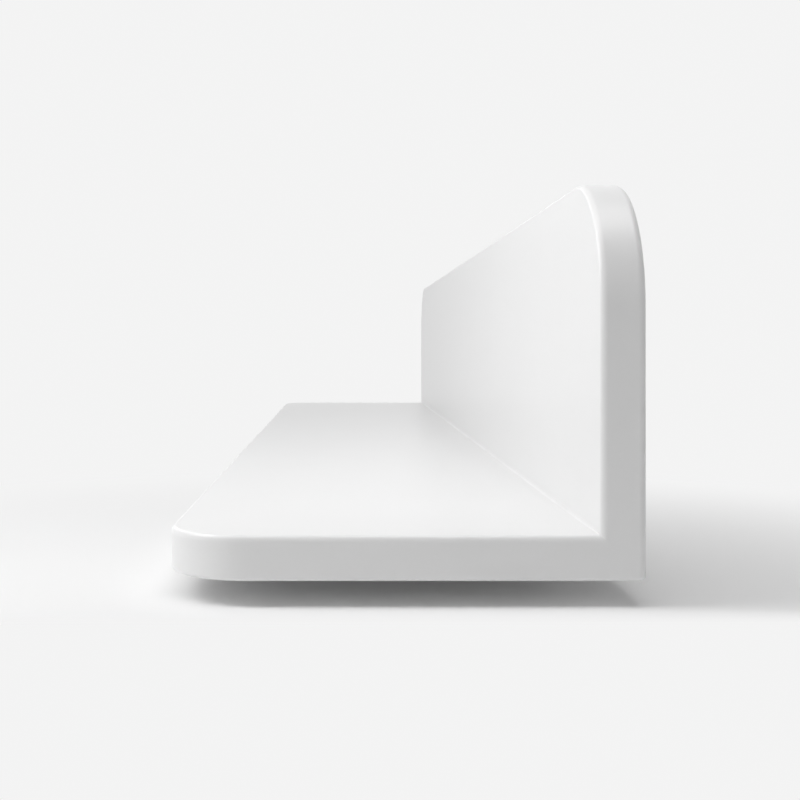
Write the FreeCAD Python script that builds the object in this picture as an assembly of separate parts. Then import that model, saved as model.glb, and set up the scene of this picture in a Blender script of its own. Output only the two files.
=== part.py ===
"""Floating wall shelf: an L of two lacquered boards that hangs on two hidden keyhole plates.

Frame: X runs along the shelf, +Y points into the wall, +Z is up. The wall is the plane y = 0.
The origin lies on the wall, midway between the round entry holes of the two keyhole plates.
All sizes are in millimetres.
"""
import FreeCAD
import Part
import math
import os

V = FreeCAD.Vector

# The two boards
LENGTH = 700.0
DEPTH = 127.0
HEIGHT = 108.0
SHELF_THICKNESS = 12.0
BACK_THICKNESS = 12.0
SHELF_CORNER_R = 22.0
BACK_CORNER_R = 36.0
FRONT_EDGE_R = 1.2
REAR_EDGE_R = 1.2

# The wood left beyond the end of each blind hole in the back board
SKIN = 3.5

# The row that joins the boards: dowels at both ends, and a screw between each dowel and the next
DOWEL_COUNT = 5
JOINT_END_MARGIN = 50.0
DOWEL_D = 6.0
DOWEL_IN_SHELF = 20.0
DOWEL_CHAMFER = 0.8
DOWEL_FIT = 0.1
DOWEL_END_GAP = 0.5
FLUTE_COUNT = 14
FLUTE_R = 0.45
FLUTE_DEPTH = 0.3

# Countersunk screws from the rear of the back board into the shelf board
JOINT_SCREW_D = 4.0
JOINT_SCREW_IN_SHELF = 33.3
JOINT_SCREW_SINK = 0.3

# Keyhole plates, let into the rear face
PLATE_INSET = 100.0
PLATE_TOP_MARGIN = 11.5
PLATE_WIDTH = 18.0
PLATE_THICKNESS = 2.0
PLATE_EDGE_R = 0.3
PLATE_SINK = 0.2
PLATE_FIT = 0.2
ENTRY_D = 10.0
SLOT_WIDTH = 5.0
SLOT_TRAVEL = 12.0
KEYHOLE_WEB = 6.0
PLATE_END_WEB = 4.0
CAVITY_ROOM = 1.0

# Small countersunk screws that hold the plates
PLATE_SCREW_D = 3.0

# Proportions and clearances that every countersunk screw shares
HEAD_PER_SHANK = 2.0
POINT_PER_SHANK = 1.2
RECESS_SPAN_PER_SHANK = 1.1
RECESS_FLOOR_PER_SPAN = 0.5
RECESS_WING_PER_SHANK = 0.28
RECESS_DEPTH_PER_SHANK = 0.5
SCREW_FIT = 0.05
SCREW_TIP_GAP = 0.3

# Places worked out from the sizes above
HALF_LENGTH = LENGTH / 2
PLATE_SCREW_HEAD_R = PLATE_SCREW_D * HEAD_PER_SHANK / 2
LOWER_SCREW_Z = -(ENTRY_D / 2 + KEYHOLE_WEB + PLATE_SCREW_HEAD_R)
UPPER_SCREW_Z = SLOT_TRAVEL + SLOT_WIDTH / 2 + KEYHOLE_WEB + PLATE_SCREW_HEAD_R
PLATE_LOW_Z = LOWER_SCREW_Z - PLATE_SCREW_HEAD_R - PLATE_END_WEB
PLATE_HIGH_Z = UPPER_SCREW_Z + PLATE_SCREW_HEAD_R + PLATE_END_WEB
TOP_Z = PLATE_HIGH_Z + PLATE_TOP_MARGIN
BOTTOM_Z = TOP_Z - HEIGHT
SHELF_TOP_Z = BOTTOM_Z + SHELF_THICKNESS
JOINT_Z = BOTTOM_Z + SHELF_THICKNESS / 2
JOINT_Y = -BACK_THICKNESS
DRILL_DEPTH = BACK_THICKNESS - SKIN
PLATE_X = HALF_LENGTH - PLATE_INSET
PLATE_REAR_Y = -PLATE_SINK
PLATE_SEAT_Y = PLATE_REAR_Y - PLATE_THICKNESS


def near(a, b):
    """True where two places are the same to a hair."""
    return abs(a - b) < 1e-4


def edges_where(shape, test):
    """The edges of a shape whose bounding box passes a test."""
    return [edge for edge in shape.Edges if test(edge.BoundBox)]


def cylinder_y(radius, x, z, y_from, y_to):
    """A round bar along Y."""
    return Part.makeCylinder(radius, y_to - y_from, V(x, y_from, z), V(0, 1, 0))


def obround_y(radius, x, z_low, z_high, y_from, y_to):
    """An upright bar along Y with round ends, whose outermost points are at z_low and z_high."""
    low = z_low + radius
    high = z_high - radius
    sides = [
        Part.LineSegment(V(x + radius, y_from, low), V(x + radius, y_from, high)),
        Part.Arc(V(x + radius, y_from, high), V(x, y_from, z_high), V(x - radius, y_from, high)),
        Part.LineSegment(V(x - radius, y_from, high), V(x - radius, y_from, low)),
        Part.Arc(V(x - radius, y_from, low), V(x, y_from, z_low), V(x + radius, y_from, low)),
    ]
    outline = Part.Wire([side.toShape() for side in sides])
    return Part.Face(outline).extrude(V(0, y_to - y_from, 0))


def turned_y(profile, x, z):
    """A solid turned about the Y axis through x, z. The profile is a list of (radius, y) corners."""
    corners = [V(x + radius, y, z) for radius, y in profile]
    face = Part.Face(Part.makePolygon(corners + corners[:1]))
    return face.revolve(V(x, 0, z), V(0, 1, 0), 360)


def back_slab():
    """The upright board with its top corners and its front edges rounded."""
    front_y = -BACK_THICKNESS
    slab = Part.makeBox(LENGTH, BACK_THICKNESS, HEIGHT, V(-HALF_LENGTH, front_y, BOTTOM_Z))
    corners = edges_where(slab, lambda b: near(b.ZMin, TOP_Z) and near(b.XLength, 0))
    slab = slab.makeFillet(BACK_CORNER_R, corners)
    front = edges_where(slab, lambda b: near(b.YMax, front_y) and b.ZMax > SHELF_TOP_Z)
    return slab.makeFillet(FRONT_EDGE_R, front)


def shelf_slab():
    """The level board with its front corners and top edges rounded, run on into the back board."""
    run_on_y = -BACK_THICKNESS / 2
    slab = Part.makeBox(LENGTH, DEPTH + run_on_y, SHELF_THICKNESS, V(-HALF_LENGTH, -DEPTH, BOTTOM_Z))
    corners = edges_where(slab, lambda b: near(b.YMax, -DEPTH) and near(b.XLength, 0))
    slab = slab.makeFillet(SHELF_CORNER_R, corners)
    top = edges_where(slab, lambda b: near(b.ZMin, SHELF_TOP_Z) and not near(b.YMin, run_on_y))
    return slab.makeFillet(FRONT_EDGE_R, top)


def blank_boards():
    """Both boards, rounded over as one L and then parted at the joint, so that their faces are flush."""
    ell = back_slab().fuse(shelf_slab()).removeSplitter()
    outline = edges_where(ell, lambda b: near(b.ZMax, BOTTOM_Z) or near(b.YMin, 0))
    ell = ell.makeFillet(REAR_EDGE_R, outline)
    back_space = Part.makeBox(LENGTH, BACK_THICKNESS, HEIGHT, V(-HALF_LENGTH, JOINT_Y, BOTTOM_Z))
    return ell.common(back_space), ell.cut(back_space)


def joint_places():
    """Evenly pitched places along the joint: those of the dowels, and those of the screws."""
    count = 2 * DOWEL_COUNT - 1
    pitch = (LENGTH - 2 * JOINT_END_MARGIN) / (count - 1)
    places = [-HALF_LENGTH + JOINT_END_MARGIN + i * pitch for i in range(count)]
    return places[0::2], places[1::2]


def dowel(x):
    """A beech dowel with chamfered ends and flutes for the glue."""
    radius = DOWEL_D / 2
    y_from = JOINT_Y - DOWEL_IN_SHELF
    y_to = JOINT_Y + DRILL_DEPTH - DOWEL_END_GAP
    blunt = radius - DOWEL_CHAMFER
    body = turned_y([(0, y_from), (blunt, y_from), (radius, y_from + DOWEL_CHAMFER),
                     (radius, y_to - DOWEL_CHAMFER), (blunt, y_to), (0, y_to)], x, JOINT_Z)
    reach = radius + FLUTE_R - FLUTE_DEPTH
    turns = [2 * math.pi * i / FLUTE_COUNT for i in range(FLUTE_COUNT)]
    flutes = [cylinder_y(FLUTE_R, x + reach * math.cos(a), JOINT_Z + reach * math.sin(a), y_from, y_to)
              for a in turns]
    return body.cut(flutes)


def dowel_hole(x):
    """The hole for a dowel, through the joint and blind in both boards."""
    y_from = JOINT_Y - DOWEL_IN_SHELF - DOWEL_END_GAP
    return cylinder_y(DOWEL_D / 2 + DOWEL_FIT, x, JOINT_Z, y_from, JOINT_Y + DRILL_DEPTH)


def cross_recess(shank_d, x, z, y_head):
    """The driver's cross: two wings that narrow towards the bottom."""
    span = shank_d * RECESS_SPAN_PER_SHANK / 2
    floor = span * RECESS_FLOOR_PER_SPAN
    wing = shank_d * RECESS_WING_PER_SHANK
    y_floor = y_head - shank_d * RECESS_DEPTH_PER_SHANK
    flat = [V(x - span, y_head, z - wing / 2), V(x + span, y_head, z - wing / 2),
            V(x + floor, y_floor, z - wing / 2), V(x - floor, y_floor, z - wing / 2)]
    level = Part.Face(Part.makePolygon(flat + flat[:1])).extrude(V(0, 0, wing))
    upright = level.copy()
    upright.rotate(V(x, 0, z), V(0, 1, 0), 90)
    return [level, upright]


def countersunk_screw(shank_d, x, z, y_head, y_tip):
    """A screw that points along -Y, with a 90 degree head, a pointed end and a cross recess."""
    shank = shank_d / 2
    head = shank * HEAD_PER_SHANK
    y_neck = y_head - (head - shank)
    y_point = y_tip + shank_d * POINT_PER_SHANK
    body = turned_y([(0, y_head), (head, y_head), (shank, y_neck), (shank, y_point), (0, y_tip)], x, z)
    return body.cut(cross_recess(shank_d, x, z, y_head))


def screw_hole(shank_d, x, z, y_head, y_tip, y_open):
    """The hole for such a screw: its own shape with a little room, countersunk up to y_open."""
    shank = shank_d / 2
    slope_fit = SCREW_FIT * math.sqrt(2)
    mouth = shank * HEAD_PER_SHANK + slope_fit + y_open - y_head
    bore = shank + SCREW_FIT
    y_neck = y_open - (mouth - bore)
    y_end = y_tip - SCREW_TIP_GAP
    return turned_y([(0, y_open), (mouth, y_open), (bore, y_neck), (bore, y_end), (0, y_end)], x, z)


def joint_screw_ends():
    """Where the head and the tip of a joint screw lie along Y."""
    return -JOINT_SCREW_SINK, JOINT_Y - JOINT_SCREW_IN_SHELF


def plate_screw_ends():
    """Where the head and the tip of a plate's screw lie along Y: flush, and short of the front skin."""
    return PLATE_REAR_Y, SCREW_TIP_GAP - DRILL_DEPTH


def plate_screw_holes(x):
    """The two holes for a plate's screws, through the plate and into the board."""
    y_head, y_tip = plate_screw_ends()
    return [screw_hole(PLATE_SCREW_D, x, z, y_head, y_tip, PLATE_REAR_Y)
            for z in (LOWER_SCREW_Z, UPPER_SCREW_Z)]


def hanger_plate(x):
    """A steel plate with a keyhole: the screw enters at the round hole and seats in the slot above."""
    plate = obround_y(PLATE_WIDTH / 2, x, PLATE_LOW_Z, PLATE_HIGH_Z, PLATE_SEAT_Y, PLATE_REAR_Y)
    rim = edges_where(plate, lambda b: near(b.YMin, PLATE_REAR_Y))
    plate = plate.makeFillet(PLATE_EDGE_R, rim)
    entry = cylinder_y(ENTRY_D / 2, x, 0, PLATE_SEAT_Y, PLATE_REAR_Y)
    slot_top = SLOT_TRAVEL + SLOT_WIDTH / 2
    slot = obround_y(SLOT_WIDTH / 2, x, -SLOT_WIDTH / 2, slot_top, PLATE_SEAT_Y, PLATE_REAR_Y)
    return plate.cut([entry.fuse(slot)] + plate_screw_holes(x))


def plate_pocket(x):
    """The step that a plate lies in, and the deeper pocket where the wall screw's head slides."""
    step = obround_y(PLATE_WIDTH / 2 + PLATE_FIT, x, PLATE_LOW_Z - PLATE_FIT, PLATE_HIGH_Z + PLATE_FIT,
                     PLATE_SEAT_Y, 0)
    room = ENTRY_D / 2 + CAVITY_ROOM
    cavity = obround_y(room, x, -room, SLOT_TRAVEL + room, -DRILL_DEPTH, PLATE_SEAT_Y)
    return [step, cavity]


def save(name, shape):
    """Write one piece, or one group of like pieces, under its name."""
    shape.exportStep("parts/" + name + ".step")
    print(name, "solids", len(shape.Solids), "valid", shape.isValid(), "volume", round(shape.Volume, 1))


os.makedirs("parts", exist_ok=True)
dowel_xs, screw_xs = joint_places()
screw_head_y, screw_tip_y = joint_screw_ends()
plate_screw_head_y, plate_screw_tip_y = plate_screw_ends()

holes = [dowel_hole(x) for x in dowel_xs]
holes += [screw_hole(JOINT_SCREW_D, x, JOINT_Z, screw_head_y, screw_tip_y, 0) for x in screw_xs]
rear_cuts = []
for x in (-PLATE_X, PLATE_X):
    rear_cuts += plate_pocket(x) + plate_screw_holes(x)

back_blank, shelf_blank = blank_boards()
save("shelf_board", shelf_blank.cut(holes))
save("back_board", back_blank.cut(holes + rear_cuts))

for number, x in enumerate(dowel_xs, start=1):
    save("dowel_" + str(number), dowel(x))
save("joint_screws", Part.makeCompound(
    [countersunk_screw(JOINT_SCREW_D, x, JOINT_Z, screw_head_y, screw_tip_y) for x in screw_xs]))

for side, x in (("left", -PLATE_X), ("right", PLATE_X)):
    save(side + "_hanger_plate", hanger_plate(x))
    save(side + "_hanger_screws", Part.makeCompound(
        [countersunk_screw(PLATE_SCREW_D, x, z, plate_screw_head_y, plate_screw_tip_y)
         for z in (LOWER_SCREW_Z, UPPER_SCREW_Z)]))
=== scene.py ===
# %% [markdown]
# # A floating wall shelf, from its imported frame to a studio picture
# The shelf is an L of two white lacquered boards: one to stand things on, one against the wall.
# Dowels and screws join them, and two keyhole plates in the rear face hang the L on two wall screws.
# The frame gives every piece's place and size. This lesson builds the surfaces and finishes around it.

import bpy
import numpy as np
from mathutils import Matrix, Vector
from mathutils.geometry import tessellate_polygon


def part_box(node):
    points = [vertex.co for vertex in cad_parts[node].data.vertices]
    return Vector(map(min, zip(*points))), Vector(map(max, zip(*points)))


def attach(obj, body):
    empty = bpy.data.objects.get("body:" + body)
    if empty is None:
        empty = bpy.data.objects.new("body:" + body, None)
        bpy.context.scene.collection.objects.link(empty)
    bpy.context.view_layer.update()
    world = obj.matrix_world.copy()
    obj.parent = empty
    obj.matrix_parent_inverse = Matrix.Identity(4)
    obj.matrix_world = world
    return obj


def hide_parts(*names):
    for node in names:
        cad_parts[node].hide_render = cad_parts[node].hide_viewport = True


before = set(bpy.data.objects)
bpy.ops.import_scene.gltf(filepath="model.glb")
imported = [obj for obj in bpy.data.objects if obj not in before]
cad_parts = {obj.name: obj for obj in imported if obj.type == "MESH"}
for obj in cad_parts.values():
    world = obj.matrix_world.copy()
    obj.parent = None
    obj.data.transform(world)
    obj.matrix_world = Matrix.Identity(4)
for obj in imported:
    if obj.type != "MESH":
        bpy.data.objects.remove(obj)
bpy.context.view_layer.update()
MM = 0.001

back_low, back_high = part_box("back_board")
shelf_low, shelf_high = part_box("shelf_board")
half_length = back_high.x
wall_y = back_high.y
joint_y = back_low.y
front_y = shelf_low.y
top_z = back_high.z
shelf_z = shelf_high.z
bottom_z = shelf_low.z
overall = np.array([2 * half_length, wall_y - front_y, top_z - bottom_z])
print("length, depth and height in mm:", np.round(overall / MM))

# %% [markdown]
# ## The camera
# The picture looks straight along the shelf from just beyond its right end, so the end face stays a true
# L and the long edges run to one vanishing point. That point lies left of and above the picture's middle.
# Turning the camera would tilt the L, so the lens is shifted a little instead, as on a view camera.

# %% Place the camera on the line through the vanishing point
PICTURE_PX = 800
SENSOR_MM = 36.0
# Where the long edges meet in the picture, and the scale of the end face that is nearest.
VANISHING_PX = (342.0, 344.0)
NEAR_SCALE_PX_PER_MM = 3.83
CAMERA_DISTANCE = 308 * MM
CAMERA_FROM_WALL = 79.6 * MM
CAMERA_ABOVE_BOTTOM = 62.1 * MM

focal_px = NEAR_SCALE_PX_PER_MM * CAMERA_DISTANCE / MM
camera_data = bpy.data.cameras.new("camera")
camera_data.sensor_width = SENSOR_MM
camera_data.lens = SENSOR_MM * focal_px / PICTURE_PX
camera_data.shift_x = 0.5 - VANISHING_PX[0] / PICTURE_PX
camera_data.shift_y = VANISHING_PX[1] / PICTURE_PX - 0.5
camera_data.clip_start = 10 * MM
camera = bpy.data.objects.new("camera", camera_data)
camera.location = (half_length + CAMERA_DISTANCE,
                   wall_y - CAMERA_FROM_WALL,
                   bottom_z + CAMERA_ABOVE_BOTTOM)
camera.rotation_euler = (np.pi / 2, 0, np.pi / 2)
bpy.context.scene.collection.objects.link(camera)
bpy.context.scene.camera = camera
shift = np.round([camera_data.shift_x, camera_data.shift_y], 3)
print("lens", round(camera_data.lens, 1), "mm, shift", shift, "of the picture's width")

# %% [markdown]
# ## Surfaces from outlines and profiles
# A board is a flat sheet with rounded edges and drilled holes. Each of its surfaces is one of two kinds:
# a profile carried along an outline (an edge's round-over, a bore's wall), or a flat face between outlines.
# Cutting holes and bevelling edges with modifiers would be quicker to write, but leaves uneven shading.
# Here both kinds are whole arrays with their true normals, so round edges shade as round at any size.
# Patches that share an outline share its points, so welding them closes the piece.

# %% Outlines: centres, radii and outward directions
ARC_STEPS = 40
RING_STEPS = 48


def arc(centre, radius, start, end, steps=ARC_STEPS):
    """An arc from one angle to another, in degrees: its centre, radius and outward directions."""
    turn = np.radians(np.linspace(start, end, steps + 1))
    out = np.stack([np.cos(turn), np.sin(turn)], axis=1)
    return np.tile(np.array(centre, float), (steps + 1, 1)), np.full(steps + 1, radius), out


def corner(place, direction):
    """A single point of an outline that faces one way."""
    return np.array([place], float), np.zeros(1), np.array([direction], float)


def chain(*runs):
    """Runs of an outline, one after the other."""
    return tuple(np.concatenate(parts) for parts in zip(*runs))


def ring(place, radius=0.0):
    """A full turn about a place. With no radius of its own, a profile's reach gives the radius."""
    return tuple(part[:-1] for part in arc(place, radius, 0, 360, RING_STEPS))


def obround(x, low, high, radius):
    """A ring drawn out upwards: a half turn about the high centre, then one about the low centre."""
    half = RING_STEPS // 2
    return chain(arc((x, high), radius, 0, 180, half), arc((x, low), radius, 180, 360, half))


def reach_out(outline, reach):
    """The outline's points moved outwards: centre + (radius + reach) times direction."""
    centre, radius, out = outline
    return centre + (radius + reach)[:, None] * out


# %% Profiles: reach, depth, and how far the surface leans outwards and along the depth
ROUND_STEPS = 12
OUTSIDE, INSIDE = 1, -1


def unit(vectors):
    """Vectors scaled to length one."""
    return vectors / np.linalg.norm(vectors, axis=-1, keepdims=True)


def round_over(across, depth, way, side=OUTSIDE, down=None):
    """A quarter ellipse from a flat face, at depth and facing way, to the wall of a rim or of a hole.

    It takes up across on the face and down on the wall. With no down it is a quarter circle.
    """
    down = down or across
    turn = np.linspace(np.pi / 2, 0, ROUND_STEPS + 1)
    reach = side * across * (np.cos(turn) - 1)
    fall = depth - way * down * (1 - np.sin(turn))
    lean = np.stack([side * np.cos(turn) / across, way * np.sin(turn) / down], axis=1)
    return np.column_stack([reach, fall, unit(lean)])


def flanks(side, way, *corners):
    """Straight flanks through (reach, depth) corners.

    Those on the outside of a solid face away from way, and those on the inside of a hole face it.
    """
    ends = np.array(corners, float)
    run = np.abs(np.diff(ends, axis=0))
    facing = unit(side * np.stack([run[:, 1], -way * run[:, 0]], axis=1))
    return [np.column_stack([ends[i:i + 2], np.tile(facing[i], (2, 1))]) for i in range(len(run))]


# %% Patches: a profile carried along an outline, or a flat face between outlines
# Which of first, second and depth goes to X, to Y and to Z.
AXES = {"xyz": [0, 1, 2], "xzy": [0, 2, 1], "yzx": [2, 0, 1]}
# A piece's first material is on its faces, and the second shows where it was cut or drilled.
FACE_FINISH, CUT_FINISH = 0, 1
WELD = 0.001 * MM


def in_space(first, second, depth, axes):
    """Three arrays as points in space, where axes names what first, second and depth are."""
    return np.stack(np.broadcast_arrays(first, second, depth), axis=-1)[..., AXES[axes]]


def carried(outline, profile, axes):
    """The profile at each outline point: centre + (radius + reach) times direction, at its depth."""
    centre, radius, out = outline
    reach, depth, lean_out, lean_depth = profile.T
    places = centre[:, None, :] + (radius[:, None] + reach)[..., None] * out[:, None, :]
    facing = lean_out[None, :, None] * out[:, None, :]
    points = in_space(places[..., 0], places[..., 1], depth[None, :], axes)
    normals = in_space(facing[..., 0], facing[..., 1], lean_depth[None, :], axes)
    return points, normals


def grid(points, normals, closed=False, finish=FACE_FINISH):
    """A patch whose faces join each four neighbours of a grid of points."""
    index = np.arange(points[..., 0].size).reshape(points.shape[:2])
    if closed:
        index = np.concatenate([index, index[:1]])
    quads = np.stack([index[:-1, :-1], index[1:, :-1], index[1:, 1:], index[:-1, 1:]], axis=-1)
    return points.reshape(-1, 3), normals.reshape(-1, 3), quads.reshape(-1, 4), finish


def across_grid(points):
    """Directions square to a grid that closes on itself: around it crossed with along it, at each point."""
    around = np.roll(points, -1, axis=0) - np.roll(points, 1, axis=0)
    return np.cross(around, np.gradient(points, axis=1))


def carry(outline, profile, axes, closed=False, finish=FACE_FINISH):
    """A profile carried along an outline, as one patch."""
    return grid(*carried(outline, profile, axes), closed, finish)


def turn_about(outline, profiles, finish=FACE_FINISH):
    """Profiles along Y carried round a closed outline in X and Z: a turned solid's sides, or a hole's."""
    return [carry(outline, profile, "xzy", True, finish) for profile in profiles]


def flat(loops, depth, way, axes, finish=FACE_FINISH):
    """A flat face at one depth that faces way, inside the first loop and outside the others."""
    loops = [loop[np.linalg.norm(loop - np.roll(loop, 1, axis=0), axis=1) > WELD] for loop in loops]
    triangles = tessellate_polygon([[Vector((a, b, 0)) for a, b in loop] for loop in loops])
    places = np.concatenate(loops)
    points = in_space(places[:, 0], places[:, 1], np.float64(depth), axes)
    normals = in_space(np.zeros(len(places)), np.float64(0), np.float64(way), axes)
    return points, normals, np.array(triangles), finish


# %% A piece: weld the patches, turn every face outwards and keep the true normals
def facing_out(faces, points, normals):
    """Faces whose corners run the wrong way round for their normals are turned over."""
    spots = points[faces]
    across = np.cross(spots[:, 2] - spots[:, 0], spots[:, -1] - spots[:, 1])
    inward = (across * normals[faces].sum(axis=1)).sum(axis=1) < 0
    return np.where(inward[:, None], faces[:, ::-1], faces)


def whole_faces(faces, vertex):
    """Four-cornered faces, and the three-cornered ones that are left where two corners are one vertex."""
    pinched_to_three = []
    for side in range(4):
        pinched = vertex[faces[:, side]] == vertex[faces[:, side - 1]]
        pinched_to_three.append(np.delete(faces[pinched], side, axis=1))
        faces = faces[~pinched]
    return faces, np.concatenate(pinched_to_three)


def weld(points):
    """Points that coincide become one vertex: the first of each group, and the vertex of every point."""
    _, first, vertex = np.unique(np.round(points / WELD), axis=0, return_index=True, return_inverse=True)
    return first, vertex.reshape(-1)


def open_sides(runs):
    """How many sides two faces don't share. A closed mesh has none."""
    sides = [np.stack([run, np.roll(run, 1, axis=1)], axis=-1).reshape(-1, 2) for run in runs]
    _, shares = np.unique(np.sort(np.concatenate(sides), axis=1), axis=0, return_counts=True)
    return int((shares != 2).sum())


def closed_mesh(name, patches):
    """One mesh from patches: points welded, faces turned outwards, and each patch's finish and normals."""
    starts = np.cumsum([0] + [len(patch[0]) for patch in patches])
    points = np.concatenate([patch[0] for patch in patches])
    normals = np.concatenate([patch[1] for patch in patches])
    first, vertex = weld(points)
    runs, finishes = [], []
    for (_, _, faces, finish), start in zip(patches, starts):
        faces = facing_out(faces + start, points, normals)
        whole = whole_faces(faces, vertex) if faces.shape[1] == 4 else [faces]
        runs += whole
        finishes += [finish] * len(whole)
    welded = [vertex[run] for run in runs]
    mesh = bpy.data.meshes.new(name)
    mesh.from_pydata(points[first], [], [face for run in welded for face in run.tolist()])
    mesh.polygons.foreach_set("use_smooth", np.ones(len(mesh.polygons), bool))
    mesh.polygons.foreach_set("material_index", np.repeat(finishes, [len(run) for run in runs]))
    mesh.normals_split_custom_set(np.concatenate([normals[run].reshape(-1, 3) for run in runs]))
    print(name, len(mesh.polygons), "faces,", open_sides(welded), "sides that two faces don't share")
    return mesh


def make_piece(name, patches, materials, slot, *nodes):
    """A closed mesh with its materials, which rides on the one body and stands for the nodes named."""
    mesh = closed_mesh(name, patches)
    for material in materials:
        mesh.materials.append(material)
    piece = bpy.data.objects.new(name, mesh)
    bpy.context.scene.collection.objects.link(piece)
    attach(piece, "root")
    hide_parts(*nodes)


# %% [markdown]
# ## Finishes
# Colours are written as the sRGB hex values that a paint chart gives and turned to the linear values that
# light adds up in. Each finish starts from the real material, and its pattern's scale from a real size.
# Image textures would need every piece unwrapped. Noise that reads the place on the piece needs none of
# that, and keeps its size in millimetres on every piece.

# %% Colour and node helpers
# A colour Mix node's sockets go by number, because each kind of data repeats their names.
MIX_SHARE, MIX_FROM, MIX_TO = 0, 6, 7
MIX_COLOUR = 2


def linear(hex_colour):
    """An sRGB hex colour as linear red, green, blue and a full alpha."""
    srgb = np.array([int(hex_colour[i:i + 2], 16) for i in (0, 2, 4)]) / 255
    low = srgb / 12.92
    high = ((srgb + 0.055) / 1.055) ** 2.4
    return (*np.where(srgb <= 0.04045, low, high).tolist(), 1.0)


def add(tree, kind, settings=(), links=()):
    """Add a node: settings go to the socket or property they name, links join a socket to its source."""
    node = tree.nodes.new(kind)
    for key, value in dict(settings).items():
        if isinstance(key, int) or key in node.inputs:
            node.inputs[key].default_value = value
        else:
            setattr(node, key, value)
    for key, source in dict(links).items():
        tree.links.new(source, node.inputs[key])
    return node


def new_material(name):
    """A material, its node tree, its Principled shader and the place on the piece that patterns read."""
    material = bpy.data.materials.new(name)
    material.use_nodes = True
    tree = material.node_tree
    return material, tree, tree.nodes["Principled BSDF"], add(tree, "ShaderNodeTexCoord").outputs["Object"]


def per_metre(feature):
    """A noise scale whose features are about this size: how many of them fit into a metre."""
    return 1 / feature


# %% White satin lacquer
LACQUER_CLOUD = 45 * MM
DIMPLE = 1.6 * MM
DIMPLE_DEPTH = 0.008 * MM


def white_lacquer():
    """Sprayed satin lacquer on primed MDF: near white, a clouded soft sheen and a spray's faint dimples.

    The clear top coat has a gloss of its own, which draws light lines along the rounded edges.
    """
    material, tree, shader, place = new_material("satin_white_lacquer")
    cloud = add(tree, "ShaderNodeTexNoise", {"Scale": per_metre(LACQUER_CLOUD), "Detail": 3.0},
                {"Vector": place})
    tint = add(tree, "ShaderNodeMix",
               {"data_type": "RGBA", MIX_FROM: linear("EEEEEE"), MIX_TO: linear("F2F2F2")},
               {MIX_SHARE: cloud.outputs["Fac"]})
    tree.links.new(tint.outputs[MIX_COLOUR], shader.inputs["Base Color"])
    sheen = add(tree, "ShaderNodeMapRange", {"To Min": 0.32, "To Max": 0.42},
                {"Value": cloud.outputs["Fac"]})
    tree.links.new(sheen.outputs["Result"], shader.inputs["Roughness"])
    dimples = add(tree, "ShaderNodeTexNoise", {"Scale": per_metre(DIMPLE), "Detail": 2.0},
                  {"Vector": place})
    bump = add(tree, "ShaderNodeBump", {"Strength": 0.5, "Distance": DIMPLE_DEPTH},
               {"Height": dimples.outputs["Fac"]})
    tree.links.new(bump.outputs["Normal"], shader.inputs["Normal"])
    shader.inputs["Coat Weight"].default_value = 0.7
    shader.inputs["Coat Roughness"].default_value = 0.36
    shader.inputs["IOR"].default_value = 1.5
    return material


# %% The board under the lacquer
# Single fibres are too fine to show, so a feature is a small clump of them.
MDF_FIBRE = 0.7 * MM
FIBRE_HEIGHT = 0.08 * MM


def cut_mdf():
    """Drilled and milled MDF: a felt of pressed wood fibre, tan with darker flecks, and no gloss."""
    material, tree, shader, place = new_material("cut_mdf")
    fibre = add(tree, "ShaderNodeTexNoise", {"Scale": per_metre(MDF_FIBRE), "Detail": 5.0},
                {"Vector": place})
    tint = add(tree, "ShaderNodeMix",
               {"data_type": "RGBA", MIX_FROM: linear("8F6F4C"), MIX_TO: linear("C3A178")},
               {MIX_SHARE: fibre.outputs["Fac"]})
    tree.links.new(tint.outputs[MIX_COLOUR], shader.inputs["Base Color"])
    bump = add(tree, "ShaderNodeBump", {"Strength": 0.6, "Distance": FIBRE_HEIGHT},
               {"Height": fibre.outputs["Fac"]})
    tree.links.new(bump.outputs["Normal"], shader.inputs["Normal"])
    shader.inputs["Roughness"].default_value = 0.9
    return material


lacquer = white_lacquer()
mdf = cut_mdf()
print("finishes:", lacquer.name, mdf.name)

# %% [markdown]
# ## The level board
# It is cut from 12 mm board with its two front corners rounded. Its bottom edge is a plain small round. Its
# top edge is eased, as sanding leaves it: it turns quickly at the face and runs out slowly down the wall.
# Along the inner corner the lacquer pools to a thin hollow bead. A Bevel modifier gives all edges one form,
# so each edge is a profile of its own instead, carried round the board.

# %% Sizes of the boards that the frame's boxes don't give
# A round takes this much of the face, and an eased edge runs on down the wall.
FRONT_ROUND = 1.2 * MM
REAR_ROUND = 1.2 * MM
EASED = 2.0 * MM
SHELF_CORNER = 22.0 * MM
BACK_CORNER = 36.0 * MM
print("corner radii in mm:", round(SHELF_CORNER / MM), "level,", round(BACK_CORNER / MM), "upright")

# %% Places and sizes of the holes for the dowels and the joint screws
DOWEL_COUNT = 5
DOWELS = ["dowel_" + str(number) for number in range(1, DOWEL_COUNT + 1)]
JOINT_SCREWS = 4
JOINT_SCREW_R = 2.0 * MM
# A fit makes a hole wider than what it takes, all round, and a gap makes it deeper.
DOWEL_FIT = 0.1 * MM
DOWEL_END_GAP = 0.5 * MM
SCREW_FIT = 0.05 * MM
SCREW_TIP_GAP = 0.3 * MM

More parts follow.
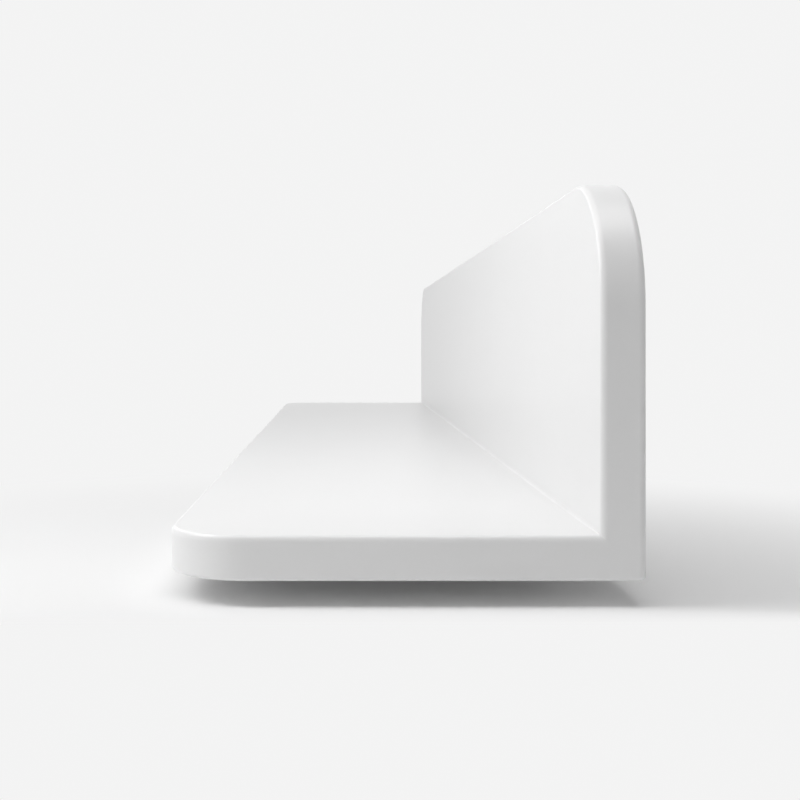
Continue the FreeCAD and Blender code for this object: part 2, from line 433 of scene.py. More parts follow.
dowel_low, dowel_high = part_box(DOWELS[0])
dowel_r = (dowel_high.x - dowel_low.x) / 2
dowel_bore = dowel_r + DOWEL_FIT
dowel_xs = [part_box(dowel)[0].x + dowel_r for dowel in DOWELS]
joint_z = (dowel_low.z + dowel_high.z) / 2
screws_low, screws_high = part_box("joint_screws")
joint_head_r = (screws_high.z - screws_low.z) / 2
joint_bore = JOINT_SCREW_R + SCREW_FIT
screw_xs = np.linspace(screws_low.x + joint_head_r, screws_high.x - joint_head_r, JOINT_SCREWS)
dowel_rings = [ring((x, joint_z)) for x in dowel_xs]
screw_rings = [ring((x, joint_z)) for x in screw_xs]
print("dowels at", np.round(np.array(dowel_xs) / MM), "screws at", np.round(screw_xs / MM), "mm")

# %% The level board's outline and the profile of its edge
shelf_outline = chain(
    corner((half_length, joint_y), (1, 0)),
    arc((half_length - SHELF_CORNER, front_y + SHELF_CORNER), SHELF_CORNER, 0, -90),
    arc((SHELF_CORNER - half_length, front_y + SHELF_CORNER), SHELF_CORNER, -90, -180),
    corner((-half_length, joint_y), (-1, 0)))
shelf_edge = np.concatenate([round_over(FRONT_ROUND, shelf_z, 1, down=EASED),
                             round_over(REAR_ROUND, bottom_z, -1)[::-1]])
print("an outline of", len(shelf_outline[0]), "points and a profile of", len(shelf_edge))

# %% The bead along the inner corner
# It keeps its radius nearly to the ends and runs out there. A higher taper brings that nearer to the ends.
BEAD_R = 0.9 * MM
BEAD_STEPS = 60
BEAD_TAPER = 40

bead_end = half_length - FRONT_ROUND
bead_x = bead_end * np.sin(np.linspace(-np.pi / 2, np.pi / 2, BEAD_STEPS + 1))
bead_r = BEAD_R * (1 - (bead_x / bead_end) ** BEAD_TAPER)
print("bead", round(2 * bead_end / MM, 1), "mm long, up to", round(bead_r.max() / MM, 1), "mm high")


def bead():
    """A quarter circle of radius r(x) about a line that lies r before the joint and r above the shelf."""
    turn = np.linspace(0, np.pi / 2, ROUND_STEPS + 1)
    y = joint_y - bead_r[:, None] * (1 - np.sin(turn))
    z = shelf_z + bead_r[:, None] * (1 - np.cos(turn))
    points = np.stack(np.broadcast_arrays(bead_x[:, None], y, z), axis=-1)
    normals = np.stack(np.broadcast_arrays(0 * y, -np.sin(turn), np.cos(turn)), axis=-1)
    return grid(points, normals)


# %% The level board's faces, edges and holes
def shelf_holes():
    """The blind holes in the rear edge: their outlines, radii and the depths that they end at."""
    dowels = [(place, dowel_bore, dowel_low.y - DOWEL_END_GAP) for place in dowel_rings]
    return dowels + [(place, joint_bore, screws_low.y - SCREW_TIP_GAP) for place in screw_rings]


def shelf_patches():
    """The edge carried round the outline, the flat faces, the bead, and the holes in the rear edge."""
    edge_x = half_length + shelf_edge[:, 0]
    right_end = np.stack([edge_x, shelf_edge[:, 1]], axis=1)
    left_end = np.stack([-edge_x, shelf_edge[:, 1]], axis=1)[::-1]
    bead_front = np.stack([bead_x, joint_y - bead_r], axis=1)[1:-1]
    bead_top = np.stack([bead_x, shelf_z + bead_r], axis=1)[1:-1]
    top = np.concatenate([reach_out(shelf_outline, -FRONT_ROUND), bead_front])
    rear = np.concatenate([right_end, left_end, bead_top])
    mouths = [reach_out(place, radius) for place, radius, _ in shelf_holes()]
    patches = [carry(shelf_outline, shelf_edge, "xyz"), bead(),
               flat([top], shelf_z, 1, "xyz"),
               flat([reach_out(shelf_outline, -REAR_ROUND)], bottom_z, -1, "xyz"),
               flat([rear] + mouths, joint_y, 1, "xzy", CUT_FINISH)]
    for place, radius, end in shelf_holes():
        sides = flanks(INSIDE, 1, (radius, joint_y), (radius, end), (0, end))
        patches += turn_about(place, sides, CUT_FINISH)
    return patches


make_piece("shelf_panel", shelf_patches(), [lacquer, mdf], "white_lacquer", "shelf_board")

# %% [markdown]
# ## The upright board
# It stands behind the level board and runs down to its underside, so the end shows one L with no seam.
# Both boards were rounded over as one, so at the inner corner their round edges meet in a small mitre.
# Its rear face holds what nobody sees from the room: countersunk screws and pockets for the two plates.
# Boolean cuts would make the holes too, but here each face is drawn with the holes' outlines left out, so
# that it stays flat and clean right up to their rims.

# %% Places and sizes of the plates' pockets
PLATE_SIDES = ("left", "right")
PLATE_FIT = 0.2 * MM
PLATE_SCREW_R = 1.5 * MM
# The keyhole's slot and its entry, how far a wall screw slides up, and the room around that in the pocket.
SLOT_R = 2.5 * MM
ENTRY_R = 5.0 * MM
SLOT_TRAVEL = 12.0 * MM
CAVITY_ROOM = 1.0 * MM
# The board that is left in front of a pocket.
SKIN = 3.5 * MM

plate_low, plate_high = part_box("left_hanger_plate")
plate_r = (plate_high.x - plate_low.x) / 2
plate_xs = [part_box(side + "_hanger_plate")[0].x + plate_r for side in PLATE_SIDES]
pair_low, pair_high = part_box("left_hanger_screws")
plate_head_r = (pair_high.x - pair_low.x) / 2
plate_bore = PLATE_SCREW_R + SCREW_FIT
plate_screw_zs = (pair_low.z + plate_head_r, pair_high.z - plate_head_r)
pocket_floor_y = joint_y + SKIN
print("plates at", np.round(np.array(plate_xs) / MM), "mm along the board")
print("their screws at heights", np.round(np.array(plate_screw_zs) / MM, 1), "mm from the entry's middle")

# %% Its outline seen from the front, its edges and ends
side_z = top_z - BACK_CORNER
crown = chain(arc((half_length - BACK_CORNER, side_z), BACK_CORNER, 0, 90),
              arc((BACK_CORNER - half_length, side_z), BACK_CORNER, 90, 180))
front_rim = chain(corner((half_length, shelf_z), (1, 0)), crown, corner((-half_length, shelf_z), (-1, 0)))
foot = chain(arc((REAR_ROUND - half_length, bottom_z + REAR_ROUND), REAR_ROUND, 180, 270, ROUND_STEPS),
             arc((half_length - REAR_ROUND, bottom_z + REAR_ROUND), REAR_ROUND, 270, 360, ROUND_STEPS))
front_round = round_over(FRONT_ROUND, joint_y, -1, down=EASED)
set_back = front_round[:, 1] - joint_y
mitre_line = np.stack([half_length + front_round[:, 0], shelf_z - set_back], axis=1)
print("a crown of", len(crown[0]), "points and a foot of", len(foot[0]))


def mitre(end):
    """The level board's eased edge, run on into the upright as far as the upright's edge is set back."""
    y = np.stack([np.full(len(set_back), joint_y), joint_y + set_back])
    points = np.stack(np.broadcast_arrays(end * mitre_line[:, 0], y, mitre_line[:, 1]), axis=-1)
    normals = np.stack(np.broadcast_arrays(end * front_round[:, 2], 0 * y, -front_round[:, 3]), axis=-1)
    return grid(points, normals)


def upright_edges():
    """The front edge down to the mitres, the crown's and the foot's walls, and the rear edge."""
    points, normals = carried(front_rim, front_round, "xzy")
    points[[0, -1], :, 2] -= set_back
    rear = wall_y - EASED
    crown_wall, = flanks(OUTSIDE, 1, (0, joint_y + EASED), (0, rear))
    foot_wall, = flanks(OUTSIDE, 1, (0, joint_y), (0, rear))
    return [grid(points, normals), mitre(1), mitre(-1),
            carry(crown, crown_wall, "xzy"), carry(foot, foot_wall, "xzy"),
            carry(chain(crown, foot), round_over(REAR_ROUND, wall_y, 1, down=EASED), "xzy", True)]


def upright_ends():
    """The two flat ends: at full depth below the shelf's eased edge, and set back above it."""
    rear, low = wall_y - EASED, bottom_z + REAR_ROUND
    step_y, step_z = joint_y + EASED, shelf_z - EASED
    loop = np.array([(joint_y, low), (joint_y, step_z), (step_y, step_z),
                     (step_y, side_z), (rear, side_z), (rear, low)])
    return [flat([loop], end * half_length, end, "yzx") for end in (1, -1)]


# %% Its pockets
def pocket_outline(x):
    """The plate's own outline with its fit: the mouth of the pocket."""
    return obround(x, plate_low.z + plate_r, plate_high.z - plate_r, plate_r + PLATE_FIT)


def pocket(x):
    """The stepped pocket behind a plate: the step that it sits on, the deep cavity and two screw holes."""
    seat = plate_low.y
    pilot_end = pair_low.y - SCREW_TIP_GAP
    cavity = obround(x, 0.0, SLOT_TRAVEL, ENTRY_R + CAVITY_ROOM)
    pilots = [ring((x, z)) for z in plate_screw_zs]
    pilot_sides = flanks(INSIDE, 1, (plate_bore, seat), (plate_bore, pilot_end), (0, pilot_end))
    openings = [reach_out(cavity, 0)] + [reach_out(pilot, plate_bore) for pilot in pilots]
    patches = turn_about(pocket_outline(x), flanks(INSIDE, 1, (0, wall_y), (0, seat)), CUT_FINISH)
    patches += turn_about(cavity, flanks(INSIDE, 1, (0, seat), (0, pocket_floor_y)), CUT_FINISH)
    patches += [flat([reach_out(pocket_outline(x), 0)] + openings, seat, 1, "xzy", CUT_FINISH),
                flat(openings[:1], pocket_floor_y, 1, "xzy", CUT_FINISH)]
    for pilot in pilots:
        patches += turn_about(pilot, pilot_sides, CUT_FINISH)
    return patches


# %% Its holes for the joint
# The mouth is the head's radius, more by its fit on a 45 degree cone and by its depth below the face.
countersink_r = joint_head_r + SCREW_FIT * np.sqrt(2) + wall_y - screws_high.y
print("countersinks", round(2 * countersink_r / MM, 2), "mm across")


def joint_holes():
    """Blind holes for the dowels from the front, and countersunk holes for the screws from the rear."""
    dowel_end = dowel_high.y + DOWEL_END_GAP
    neck = wall_y - countersink_r + joint_bore
    dowel_sides = flanks(INSIDE, -1, (dowel_bore, joint_y), (dowel_bore, dowel_end), (0, dowel_end))
    screw_sides = flanks(INSIDE, 1, (countersink_r, wall_y), (joint_bore, neck), (joint_bore, joint_y))
    patches = []
    for place in dowel_rings:
        patches += turn_about(place, dowel_sides, CUT_FINISH)
    for place in screw_rings:
        patches += turn_about(place, screw_sides, CUT_FINISH)
    return patches


# %% Its two faces, and the whole upright
def upright_faces():
    """The front face around the joint's holes, and the rear face around countersinks and pockets."""
    front = np.concatenate([reach_out(front_rim, -FRONT_ROUND), (mitre_line * (-1, 1))[1:],
                            reach_out(foot, 0), mitre_line[:0:-1]])
    front_holes = [reach_out(place, dowel_bore) for place in dowel_rings]
    front_holes += [reach_out(place, joint_bore) for place in screw_rings]
    rear = reach_out(chain(crown, foot), -REAR_ROUND)
    rear_holes = [reach_out(place, countersink_r) for place in screw_rings]
    rear_holes += [reach_out(pocket_outline(x), 0) for x in plate_xs]
    return [flat([front] + front_holes, joint_y, -1, "xzy"), flat([rear] + rear_holes, wall_y, 1, "xzy")]


upright = upright_edges() + upright_ends() + upright_faces() + joint_holes()
for x in plate_xs:
    upright += pocket(x)
make_piece("back_panel", upright, [lacquer, mdf], "white_lacquer", "back_board")

# %% [markdown]
# ## Screws
# Countersunk wood screws: a flat head with a cross-shaped recess, a cone under it, and a thread that winds
# down a thin core to a point. The thread is a ridge whose height depends on how far the angle and the
# depth are out of step, so one formula over a grid of angles and depths gives the whole helix. A Screw
# modifier would wind a profile too, but its thread wouldn't fade out at the neck and taper to the point.

# %% Thread and head
# Rows of points in each pitch. The core is a share of the radius, half a ridge's width one of the pitch.
THREAD_ROWS = 10
CORE_SHARE = 0.66
RIDGE_SHARE = 0.32
# Sizes for each unit of shank diameter, and the recess's floor as a share of its mouth.
PITCH_PER_SHANK = 0.52
POINT_PER_SHANK = 1.2
RIM_PER_SHANK = 0.06
RECESS_SPAN_PER_SHANK = 1.1
RECESS_WING_PER_SHANK = 0.28
RECESS_DEPTH_PER_SHANK = 0.5
RECESS_FLOOR_SHARE = 0.55


def thread(x, z, neck_y, tip_y, radius):
    """r = taper times (core + ridge), over a grid of angles and depths.

    The ridge moves on by one pitch in each turn, and the taper ends in a point.
    """
    shank = 2 * radius
    pitch = PITCH_PER_SHANK * shank
    rows = round((neck_y - tip_y) / pitch * THREAD_ROWS)
    y = np.linspace(neck_y, tip_y, rows + 1)[None, :]
    turn = np.arange(RING_STEPS)[:, None] * 2 * np.pi / RING_STEPS
    along = (neck_y - y) / pitch
    out_of_step = np.abs((along - turn / (2 * np.pi)) % 1 - 0.5)
    ridge = np.clip(1 - out_of_step / RIDGE_SHARE, 0, 1) * np.clip(along, 0, 1)
    taper = np.clip((y - tip_y) / (POINT_PER_SHANK * shank), 0, 1)
    r = taper * radius * (CORE_SHARE + (1 - CORE_SHARE) * ridge)
    points = in_space(x + r * np.cos(turn), z + r * np.sin(turn), y, "xzy")
    normals = across_grid(points)
    normals[:, -1] = (0, -1, 0)
    return grid(points, unit(normals), True)


def cross(x, z, span, wing):
    """A plus sign of four arms, each from the middle to half the span and as wide as the wing."""
    arm = np.array([(span, -wing), (span, wing), (wing, wing)]) / 2
    quarter = np.array([(0, 1), (-1, 0)])
    arms = [arm @ np.linalg.matrix_power(quarter, turns) for turns in range(4)]
    return np.concatenate(arms) + (x, z)


def recess(x, z, head_y, shank):
    """The driver's recess: twelve walls that slant from a cross in the head to a smaller one, its floor."""
    span, wing = RECESS_SPAN_PER_SHANK * shank, RECESS_WING_PER_SHANK * shank
    floor_y = head_y - RECESS_DEPTH_PER_SHANK * shank
    mouth = cross(x, z, span, wing)
    floor = cross(x, z, span * RECESS_FLOOR_SHARE, wing * RECESS_FLOOR_SHARE)
    rows = [(mouth, head_y), (np.roll(mouth, -1, axis=0), head_y),
            (np.roll(floor, -1, axis=0), floor_y), (floor, floor_y)]
    walls = np.stack([in_space(row[:, 0], row[:, 1], np.float64(y), "xzy") for row, y in rows], axis=1)
    facing = np.cross(walls[:, 1] - walls[:, 0], walls[:, 3] - walls[:, 0])
    facing = unit(facing) * np.sign(facing[:, 1:2])
    wall_quads = np.arange(len(mouth) * 4).reshape(-1, 4)
    sides = walls.reshape(-1, 3), np.repeat(facing, 4, axis=0), wall_quads, FACE_FINISH
    return [sides, flat([floor], floor_y, 1, "xzy")], mouth


def screw(x, z, head_y, tip_y, head_r, radius):
    """A countersunk screw: rim, recessed top, cone down to the core, and thread down to the point."""
    shank = 2 * radius
    rim = RIM_PER_SHANK * shank
    core = CORE_SHARE * radius
    rim_y = head_y - rim
    neck_y = rim_y - (head_r - core)
    edge = ring((x, z), head_r)
    patches, mouth = recess(x, z, head_y, shank)
    patches += turn_about(edge, [round_over(rim, head_y, 1)])
    patches += turn_about(ring((x, z)), flanks(OUTSIDE, 1, (head_r, rim_y), (core, neck_y)))
    patches += [flat([reach_out(edge, -rim), mouth], head_y, 1, "xzy"), thread(x, z, neck_y, tip_y, radius)]
    return patches


# %% Zinc plating
PLATING_CLOUD = 3.5 * MM
# Real pits are finer. These are drawn as coarse as they need to show.
PIT = 0.25 * MM
PIT_DEPTH = 0.01 * MM
ROUGHNESS_SPREAD = 0.08


def plated(name, dull, bright, roughness):
    """Zinc plating and its passivation: a finely pitted metal whose tint clouds over a few millimetres."""
    material, tree, shader, place = new_material(name)
    cloud = add(tree, "ShaderNodeTexNoise", {"Scale": per_metre(PLATING_CLOUD), "Detail": 4.0},
                {"Vector": place})
    tint = add(tree, "ShaderNodeMix",
               {"data_type": "RGBA", MIX_FROM: linear(dull), MIX_TO: linear(bright)},
               {MIX_SHARE: cloud.outputs["Fac"]})
    tree.links.new(tint.outputs[MIX_COLOUR], shader.inputs["Base Color"])
    rough = add(tree, "ShaderNodeMapRange",
                {"To Min": roughness - ROUGHNESS_SPREAD, "To Max": roughness + ROUGHNESS_SPREAD},
                {"Value": cloud.outputs["Fac"]})
    tree.links.new(rough.outputs["Result"], shader.inputs["Roughness"])
    pits = add(tree, "ShaderNodeTexNoise", {"Scale": per_metre(PIT), "Detail": 2.0}, {"Vector": place})
    bump = add(tree, "ShaderNodeBump", {"Strength": 0.4, "Distance": PIT_DEPTH},
               {"Height": pits.outputs["Fac"]})
    tree.links.new(bump.outputs["Normal"], shader.inputs["Normal"])
    shader.inputs["Metallic"].default_value = 1.0
    return material


yellow_zinc = plated("yellow_passivated_zinc", "B8904A", "DEC684", 0.34)
bright_zinc = plated("bright_zinc_screw", "AEB4BA", "D5D9DD", 0.30)
print("finishes:", yellow_zinc.name, bright_zinc.name)

# %% Four screws in the joint and two in each plate
joint_patches = []
for x in screw_xs:
    joint_patches += screw(x, joint_z, screws_high.y, screws_low.y, joint_head_r, JOINT_SCREW_R)
make_piece("countersunk_joint_screws", joint_patches, [yellow_zinc], "yellow_zinc_steel", "joint_screws")

for side, x in zip(PLATE_SIDES, plate_xs):
    pair = []
    for z in plate_screw_zs:
        pair += screw(x, z, pair_high.y, pair_low.y, plate_head_r, PLATE_SCREW_R)
    make_piece(side + "_plate_screw_pair", pair, [bright_zinc], "zinc_plated_screw",
               side + "_hanger_screws")

# %% [markdown]
# ## Keyhole plates
# Each plate is stamped from 2 mm strip: a wide round entry for the wall screw's head, a narrow slot above
# it for the shank, and two countersunk holes. Stamping and tumbling leave its edges a little rounded. A
# disc and a bar could be cut out of it, but a round edge needs one clean outline to run along. So the
# keyhole is one chain of arcs, and its two inner corners are single points that lean both ways, where the
# round edge closes.

# %% The plate
PLATE_ROUND = 0.3 * MM

neck_z = np.sqrt(ENTRY_R ** 2 - SLOT_R ** 2)
neck_lean = (ENTRY_R - SLOT_R) / neck_z
neck_angle = np.degrees(np.arctan2(neck_z, SLOT_R))
print("the slot leaves the entry", round(neck_z / MM, 2), "mm above its middle")


def keyhole(x):
    """Slot end, left neck, entry and right neck. At a neck the outline leans up as the round edge grows."""
    entry = arc((x, 0.0), ENTRY_R, 180 - neck_angle, 360 + neck_angle)
    return chain(corner((x + SLOT_R, neck_z), (1, neck_lean)),
                 arc((x, SLOT_TRAVEL), SLOT_R, 0, 180),
                 corner((x - SLOT_R, neck_z), (-1, neck_lean)),
                 tuple(part[1:-1] for part in entry))


def rounded_wall(outline, side, low_y, high_y):
    """A stamped edge: round at the rear face, straight, and round again at the front face."""
    rear = round_over(PLATE_ROUND, high_y, 1, side)
    front = round_over(PLATE_ROUND, low_y, -1, side)
    return carry(outline, np.concatenate([rear, front[::-1]]), "xzy", True)


def plate(x):
    """The strip with round ends, its keyhole, and two holes countersunk for the screws' heads."""
    low_y, high_y = plate_low.y, plate_high.y
    outside = obround(x, plate_low.z + plate_r, plate_high.z - plate_r, plate_r)
    hole = keyhole(x)
    mouth = plate_head_r + SCREW_FIT * np.sqrt(2)
    neck_y = high_y - mouth + plate_bore
    bores = [ring((x, z)) for z in plate_screw_zs]
    patches = [rounded_wall(outside, OUTSIDE, low_y, high_y), rounded_wall(hole, INSIDE, low_y, high_y)]
    rims = [reach_out(outside, -PLATE_ROUND), reach_out(hole, PLATE_ROUND)]
    for y, way, radius in ((high_y, 1, mouth), (low_y, -1, plate_bore)):
        openings = [reach_out(place, radius) for place in bores]
        patches.append(flat(rims + openings, y, way, "xzy"))
    sides = flanks(INSIDE, 1, (mouth, high_y), (plate_bore, neck_y), (plate_bore, low_y))
    for place in bores:
        patches += turn_about(place, sides)
    return patches


# %% Stamped and plated steel
STRIP_CLOUD = 6 * MM
# Real rolling lines are finer. These are drawn as coarse as they need to show.
ROLLING_LINE = 0.3 * MM
LINE_SQUEEZE = 0.04
LINE_DEPTH = 0.01 * MM


def stamped_zinc():
    """Zinc plated strip: bluish grey metal, clouded by passivation, with the fine lines of rolling.

    Squeezing the place along Z draws the noise out into lines that run along the strip.
    """
    material, tree, shader, place = new_material("zinc_plated_strip")
    cloud = add(tree, "ShaderNodeTexNoise", {"Scale": per_metre(STRIP_CLOUD), "Detail": 4.0},
                {"Vector": place})
    tint = add(tree, "ShaderNodeMix",
               {"data_type": "RGBA", MIX_FROM: linear("A3A9B0"), MIX_TO: linear("CDD2D7")},
               {MIX_SHARE: cloud.outputs["Fac"]})
    tree.links.new(tint.outputs[MIX_COLOUR], shader.inputs["Base Color"])
    stretched = add(tree, "ShaderNodeMapping", {"Scale": (1.0, 1.0, LINE_SQUEEZE)}, {"Vector": place})
    lines = add(tree, "ShaderNodeTexNoise", {"Scale": per_metre(ROLLING_LINE), "Detail": 3.0},
                {"Vector": stretched.outputs["Vector"]})
    rough = add(tree, "ShaderNodeMapRange", {"To Min": 0.26, "To Max": 0.5},
                {"Value": lines.outputs["Fac"]})
    tree.links.new(rough.outputs["Result"], shader.inputs["Roughness"])
    bump = add(tree, "ShaderNodeBump", {"Strength": 0.35, "Distance": LINE_DEPTH},
               {"Height": lines.outputs["Fac"]})
    tree.links.new(bump.outputs["Normal"], shader.inputs["Normal"])
    shader.inputs["Metallic"].default_value = 1.0
    return material


strip = stamped_zinc()
for side, x in zip(PLATE_SIDES, plate_xs):
    make_piece(side + "_keyhole_plate", plate(x), [strip], "zinc_plated_steel", side + "_hanger_plate")

# %% [markdown]
# ## Dowels
# Fluted beech dowels line the two boards up. The flutes let air and glue out of the hole, and the chamfers
# help the dowel find it. A flute is the part of a small circle that dips below the dowel's surface. Cutting
# fourteen grooves one by one would do as well, but one formula over the angle gives them all at once.

# %% The dowel
FLUTES = 14
FLUTE_COLUMNS = 12
FLUTE_R = 0.45 * MM
FLUTE_DEPTH = 0.3 * MM
DOWEL_CHAMFER = 0.8 * MM

dowel_turn = np.arange(FLUTES * FLUTE_COLUMNS) * 2 * np.pi / (FLUTES * FLUTE_COLUMNS)
flute_offset = ((dowel_turn * FLUTES / (2 * np.pi) + 0.5) % 1 - 0.5) * 2 * np.pi / FLUTES * dowel_r
flute_circle = np.sqrt(np.clip(FLUTE_R ** 2 - flute_offset ** 2, 0, None))
flute_dip = np.clip(flute_circle - (FLUTE_R - FLUTE_DEPTH), 0, None)
print(FLUTES, "flutes,", round(flute_dip.max() / MM, 2), "mm deep")


def fluted(x, radius):
    """The dowel's outline at one radius: the radius less the flutes' dip, at each angle."""
    r = radius - flute_dip
    return np.stack([x + r * np.cos(dowel_turn), joint_z + r * np.sin(dowel_turn)], axis=1)


def between(rings):
    """A strip between two outlines at two depths, with normals across the strip's own two directions."""
    points = np.stack([in_space(loop[:, 0], loop[:, 1], np.float64(y), "xzy") for loop, y in rings], axis=1)
    return grid(points, unit(across_grid(points)), True)


def dowel(x):
    """A fluted side, a chamfer at each end, and two flat end faces."""
    low_y, high_y = dowel_low.y, dowel_high.y
    slim = dowel_r - DOWEL_CHAMFER
    rows = [(fluted(x, slim), high_y), (fluted(x, dowel_r), high_y - DOWEL_CHAMFER),
            (fluted(x, dowel_r), low_y + DOWEL_CHAMFER), (fluted(x, slim), low_y)]
    ends = [flat([rows[0][0]], high_y, 1, "xzy"), flat([rows[-1][0]], low_y, -1, "xzy")]
    return ends + [between(pair) for pair in zip(rows, rows[1:])]


# %% Beech
# Beech pores are finer than this grain, which is drawn as coarse as it needs to show.
GRAIN = 0.6 * MM
GRAIN_SQUEEZE = 0.06
GRAIN_HEIGHT = 0.04 * MM
RAY = 0.5 * MM
RAY_SQUEEZE = 0.25


def beech():
    """Turned beech: pinkish tan, straight fine grain along the dowel, and short darker ray flecks."""
    material, tree, shader, place = new_material("turned_beech")
    along = add(tree, "ShaderNodeMapping", {"Scale": (1.0, GRAIN_SQUEEZE, 1.0)}, {"Vector": place})
    grain = add(tree, "ShaderNodeTexNoise", {"Scale": per_metre(GRAIN), "Detail": 4.0},
                {"Vector": along.outputs["Vector"]})
    tint = add(tree, "ShaderNodeMix",
               {"data_type": "RGBA", MIX_FROM: linear("C49A6C"), MIX_TO: linear("E0BE96")},
               {MIX_SHARE: grain.outputs["Fac"]})
    short = add(tree, "ShaderNodeMapping", {"Scale": (1.0, RAY_SQUEEZE, 1.0)}, {"Vector": place})
    rays = add(tree, "ShaderNodeTexNoise", {"Scale": per_metre(RAY), "Detail": 1.0},
               {"Vector": short.outputs["Vector"]})
    flecks = add(tree, "ShaderNodeMapRange", {"From Min": 0.62, "From Max": 0.7},
                 {"Value": rays.outputs["Fac"]})
    flecked = add(tree, "ShaderNodeMix", {"data_type": "RGBA", MIX_TO: linear("A8774A")},
                  {MIX_SHARE: flecks.outputs["Result"], MIX_FROM: tint.outputs[MIX_COLOUR]})
    tree.links.new(flecked.outputs[MIX_COLOUR], shader.inputs["Base Color"])
    bump = add(tree, "ShaderNodeBump", {"Strength": 0.5, "Distance": GRAIN_HEIGHT},
               {"Height": grain.outputs["Fac"]})
    tree.links.new(bump.outputs["Normal"], shader.inputs["Normal"])
    shader.inputs["Roughness"].default_value = 0.65
    return material


beech_wood = beech()
for node, x in zip(DOWELS, dowel_xs):
    make_piece("fluted_" + node, dowel(x), [beech_wood], "beech", node)

# %% [markdown]
# ## Floor and light
# The shelf hovers just above a pale sheet, so its underside throws a soft dark shadow. One big lamp would
# be simpler, but it would light the end as much as the faces beside it. So a box and two strips stand level
# with the near end: they graze it and leave it in quiet shade, and the shadow ends in one straight soft
# line. A key box further back draws the highlights on the rounded corners and lights the far half, and a
# wide box overhead lights the tops. A low box behind keeps the rear face light. It is left out of
# reflections, where it would draw a white rim on the crown. The world adds an even light, stronger from the
# room than from the wall. The floor fades into the backdrop with distance from the near end, and quickly
# just in front of it.

# %% Where the floor lies, and how bright the backdrop is
FLOOR_GAP = 6.8 * MM
FLOOR_HALF = 4.0
BACKDROP = 0.90

floor_z = bottom_z - FLOOR_GAP
print("floor", round(FLOOR_GAP / MM, 1), "mm below the shelf")


def is_seen(tree):
    """One for rays that show the backdrop to the eye: from the camera, mirrored or passed through."""
    path = add(tree, "ShaderNodeLightPath").outputs
    seen = add(tree, "ShaderNodeMath", {"operation": "MAXIMUM"},
               {0: path["Is Camera Ray"], 1: path["Is Glossy Ray"]})
    return add(tree, "ShaderNodeMath", {"operation": "MAXIMUM"},
               {0: seen.outputs[0], 1: path["Is Transmission Ray"]}).outputs[0]


# %% A pale floor that turns into backdrop
# The backdrop's share grows from a small glow to the whole between two distances from a point at the near
# end, in metres. The glow is painted light: it lightens the shelf's shadows on the floor where the eye sees
# them, and the fade paints the shadow away further from the near end.
FADE_CENTRE = (half_length - 0.02, 0.5 * front_y)
FADE_FROM = 0.05
FADE_TO = 0.31
PAINTED_SHADOW_LIFT = 0.06
# Just in front of the near end, it also grows between two places along X, and paints out the shadow there.
FRONT_FADE_FROM = half_length - 0.003
FRONT_FADE_TO = half_length + 0.018


def pale_floor():
    """A matt pale sheet fading into the backdrop so that no horizon shows, with painted light lifting its
    shadows.
    """
    material, tree, shader, place = new_material("pale_floor")
    shader.inputs["Base Color"].default_value = linear("F6F6F6")
    shader.inputs["Roughness"].default_value = 0.9
    shader.inputs["Specular IOR Level"].default_value = 0.0
    away = add(tree, "ShaderNodeVectorMath", {"operation": "DISTANCE", 1: (*FADE_CENTRE, floor_z)},
               {0: place})
    far = add(tree, "ShaderNodeMapRange",
              {"interpolation_type": "SMOOTHSTEP", "From Min": FADE_FROM, "From Max": FADE_TO,
               "To Min": PAINTED_SHADOW_LIFT},
              {"Value": away.outputs["Value"]})
    forward = add(tree, "ShaderNodeSeparateXYZ", {}, {"Vector": place})
    front = add(tree, "ShaderNodeMapRange",
                {"interpolation_type": "SMOOTHSTEP", "From Min": FRONT_FADE_FROM,
                 "From Max": FRONT_FADE_TO},
                {"Value": forward.outputs["X"]})
    fade = add(tree, "ShaderNodeMath", {"operation": "MAXIMUM"},
               {0: far.outputs["Result"], 1: front.outputs["Result"]})
    share = add(tree, "ShaderNodeMath", {"operation": "MULTIPLY"}, {0: fade.outputs[0], 1: is_seen(tree)})
    glow = add(tree, "ShaderNodeEmission", {"Strength": BACKDROP})
    blend = add(tree, "ShaderNodeMixShader", {},
                {0: share.outputs[0], 1: shader.outputs[0], 2: glow.outputs[0]})
    tree.links.new(blend.outputs[0], tree.nodes["Material Output"].inputs["Surface"])
    return material


square = np.array([(-1, -1), (1, -1), (1, 1), (-1, 1)]) * FLOOR_HALF
floor_mesh = bpy.data.meshes.new("floor")
floor_mesh.from_pydata(np.column_stack([square, np.full(4, floor_z)]), [], [(0, 1, 2, 3)])
floor_mesh.materials.append(pale_floor())
floor = bpy.data.objects.new("floor", floor_mesh)
bpy.context.scene.collection.objects.link(floor)
print("floor", 2 * FLOOR_HALF, "m square")


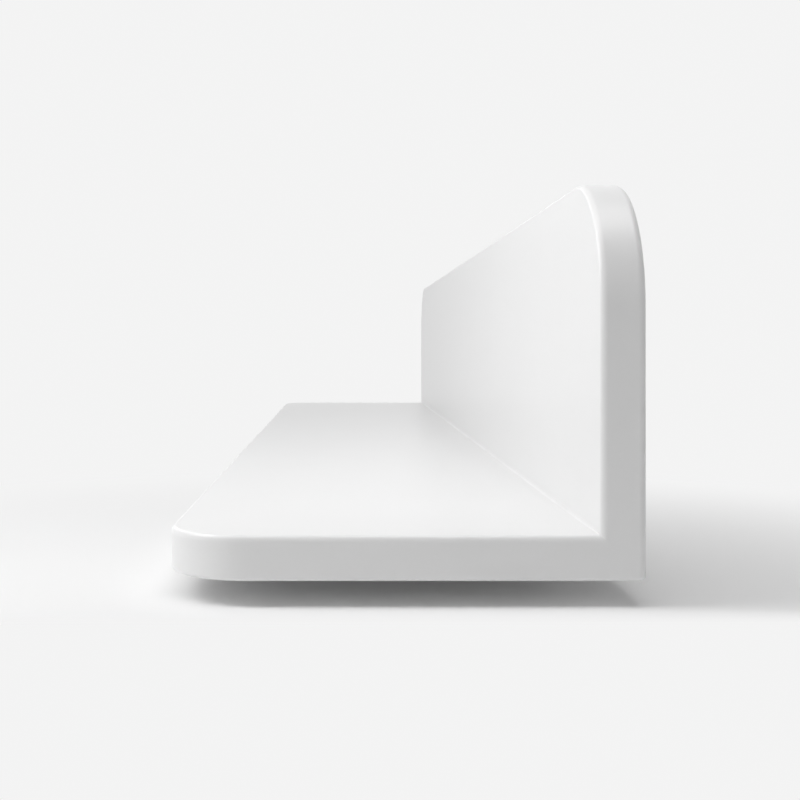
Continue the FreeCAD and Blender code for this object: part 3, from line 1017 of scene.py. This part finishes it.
# %% Soft boxes
def soft_box(name, place, aim, size, watts):
    """A rectangular lamp of a size, width and height, at a place and turned towards the point it lights."""
    lamp = bpy.data.lights.new(name, "AREA")
    lamp.shape = "RECTANGLE"
    lamp.size, lamp.size_y = size
    lamp.energy = watts
    box = bpy.data.objects.new(name, lamp)
    box.location = place
    box.rotation_euler = (Vector(aim) - Vector(place)).to_track_quat("-Z", "Y").to_euler()
    bpy.context.scene.collection.objects.link(box)
    print(name, watts, "W")
    return box


# The points that the lamps are turned towards. Places and sizes are in metres.
near_end = (half_length, -0.05, -0.03)
middle = (0.1, -0.03, -0.05)
rear_middle = (-0.1, 0.0, 0.0)
soft_box("near_box", place=(half_length, -0.4, 0.28), aim=near_end, size=(0.18, 0.3), watts=0.79)
soft_box("near_strip", place=(half_length + 0.01, -0.1, 0.34), aim=near_end, size=(0.2, 0.5), watts=0.37)
soft_box("high_strip", place=(half_length, -0.7, 0.6), aim=near_end, size=(0.2, 0.4), watts=0.21)
soft_box("far_key", place=(-0.3, -0.6, 0.45), aim=middle, size=(0.4, 0.4), watts=0.78)
soft_box("overhead_box", place=(half_length + 0.25, 0.0, 1.4), aim=near_end, size=(0.8, 0.8), watts=3.2)
rear_box = soft_box("rear_box", place=(-1.0, 1.1, 0.22), aim=rear_middle, size=(1.6, 0.5), watts=9.0)
rear_box.visible_glossy = False

# %% World
AMBIENT_FROM_ROOM = 0.465
AMBIENT_FROM_WALL = 0.10

world = bpy.data.worlds.new("studio")
bpy.context.scene.world = world
world.use_nodes = True
tree = world.node_tree
background = tree.nodes["Background"]
background.inputs["Color"].default_value = linear("FFFFFF")
sky = add(tree, "ShaderNodeTexCoord").outputs["Generated"]
direction = add(tree, "ShaderNodeSeparateXYZ", {}, {"Vector": sky})
ambient = add(tree, "ShaderNodeMapRange",
              {"From Min": -1.0, "From Max": 1.0, "To Min": AMBIENT_FROM_ROOM, "To Max": AMBIENT_FROM_WALL},
              {"Value": direction.outputs["Y"]})
level = add(tree, "ShaderNodeMapRange", {"To Max": BACKDROP},
            {"Value": is_seen(tree), "To Min": ambient.outputs["Result"]})
tree.links.new(level.outputs["Result"], background.inputs["Strength"])
bpy.context.scene.view_settings.view_transform = "Standard"
print("ambient light from", AMBIENT_FROM_WALL, "to", AMBIENT_FROM_ROOM)
